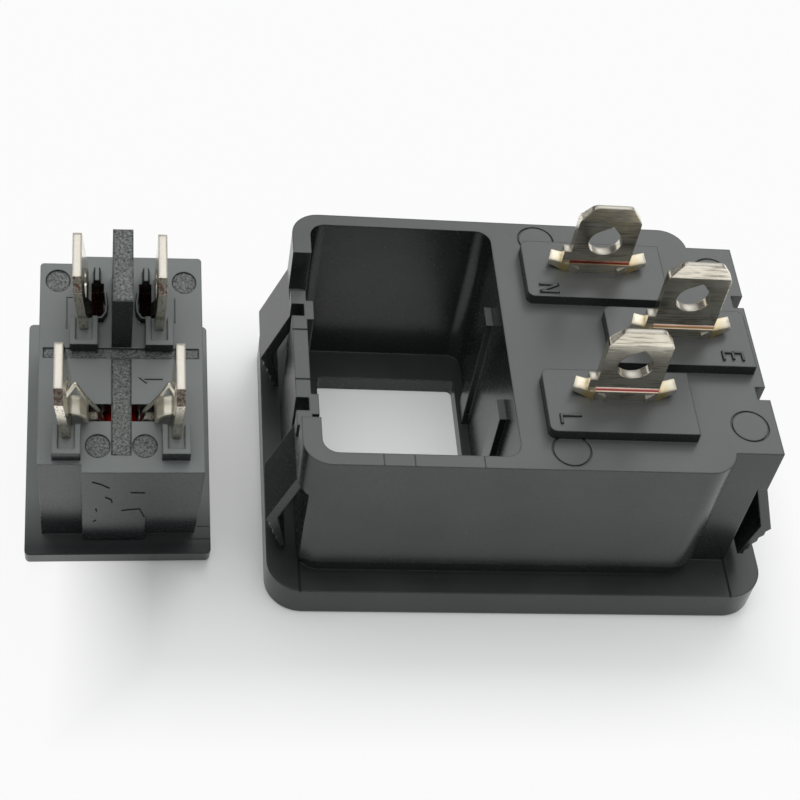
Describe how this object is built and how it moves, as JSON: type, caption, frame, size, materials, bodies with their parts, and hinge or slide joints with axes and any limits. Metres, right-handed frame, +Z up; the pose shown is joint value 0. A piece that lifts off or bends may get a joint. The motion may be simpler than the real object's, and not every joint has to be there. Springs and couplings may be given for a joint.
{
  "type": "power inlet with rocker switch",
  "caption": "Snap-in mains inlet with a rear-facing row of flat tabs and an open switch bay, lying face down beside the small rocker switch that snaps into the bay.",
  "frame": {"origin": "on the inlet flange's front face and its long centre line, in the wall between the switch bay and the socket; the front face lies on the surface that both pieces lie on", "axes": "+X along the flange from the switch bay to the socket, +Y across it, +Z up to the tabs"},
  "size_m": [0.0627, 0.0304, 0.0299],
  "materials": {
    "black_nylon": "satin",
    "red_polycarbonate": "gloss",
    "plated_brass": "bright plated",
    "silver_contact": "satin",
    "white_acetal": "satin",
    "spring_steel": "bright drawn",
    "tinned_copper": "tinned",
    "lamp_glass": "red",
    "resistor_coating": "lacquered"
  },
  "bodies": {
    "inlet_and_switch_case": {"inlet_housing": "black_nylon", "line_pin": "plated_brass", "neutral_pin": "plated_brass", "earth_pin": "plated_brass", "switch_housing": "black_nylon", "neon_lamp": "lamp_glass", "resistor": "resistor_coating", "contact_terminal_left": "plated_brass", "contact_terminal_right": "plated_brass", "fulcrum_terminal_left": "plated_brass", "fulcrum_terminal_right": "plated_brass", "fixed_contact_left": "silver_contact", "fixed_contact_right": "silver_contact", "lamp_lead_left": "tinned_copper", "lamp_lead_right": "tinned_copper"},
    "rocker": {"rocker": "red_polycarbonate", "plunger_spring_left": "spring_steel", "plunger_spring_right": "spring_steel"},
    "contact_lever_left": {"contact_lever_left": "plated_brass", "moving_contact_left": "silver_contact"},
    "plunger_left": {"plunger_left": "white_acetal"},
    "contact_lever_right": {"contact_lever_right": "plated_brass", "moving_contact_right": "silver_contact"},
    "plunger_right": {"plunger_right": "white_acetal"}
  },
  "joints": [
    {"name": "rocker_tilt", "type": "hinge", "parent": "inlet_and_switch_case", "child": "rocker", "pos_m": [-0.03412, -0.00157, 0.00611], "axis": [0.9996, 0.0297, 0], "range_deg": [0, 34]},
    {"name": "lever_tilt_left", "type": "hinge", "parent": "inlet_and_switch_case", "child": "contact_lever_left", "pos_m": [-0.03404, -0.0043, 0.01531], "axis": [0.9996, 0.0297, 0], "range_deg": [-16.01, 0]},
    {"name": "plunger_press_left", "type": "slide", "parent": "rocker", "child": "plunger_left", "axis": [0.0002, -0.0081, -1], "range_m": [0, 0.0008], "stiffness_N_per_m": 400, "deforming": ["plunger_spring_left"]},
    {"name": "lever_tilt_right", "type": "hinge", "parent": "inlet_and_switch_case", "child": "contact_lever_right", "pos_m": [-0.03404, -0.0043, 0.01531], "axis": [0.9996, 0.0297, 0], "range_deg": [-16.01, 0]},
    {"name": "plunger_press_right", "type": "slide", "parent": "rocker", "child": "plunger_right", "axis": [0.0002, -0.0081, -1], "range_m": [0, 0.0008], "stiffness_N_per_m": 400, "deforming": ["plunger_spring_right"]}
  ],
  "couplings": [
    {"joint": "lever_tilt_left", "follows": "rocker_tilt", "ratio": -0.47059},
    {"joint": "lever_tilt_right", "follows": "rocker_tilt", "ratio": -0.47059}
  ]
}
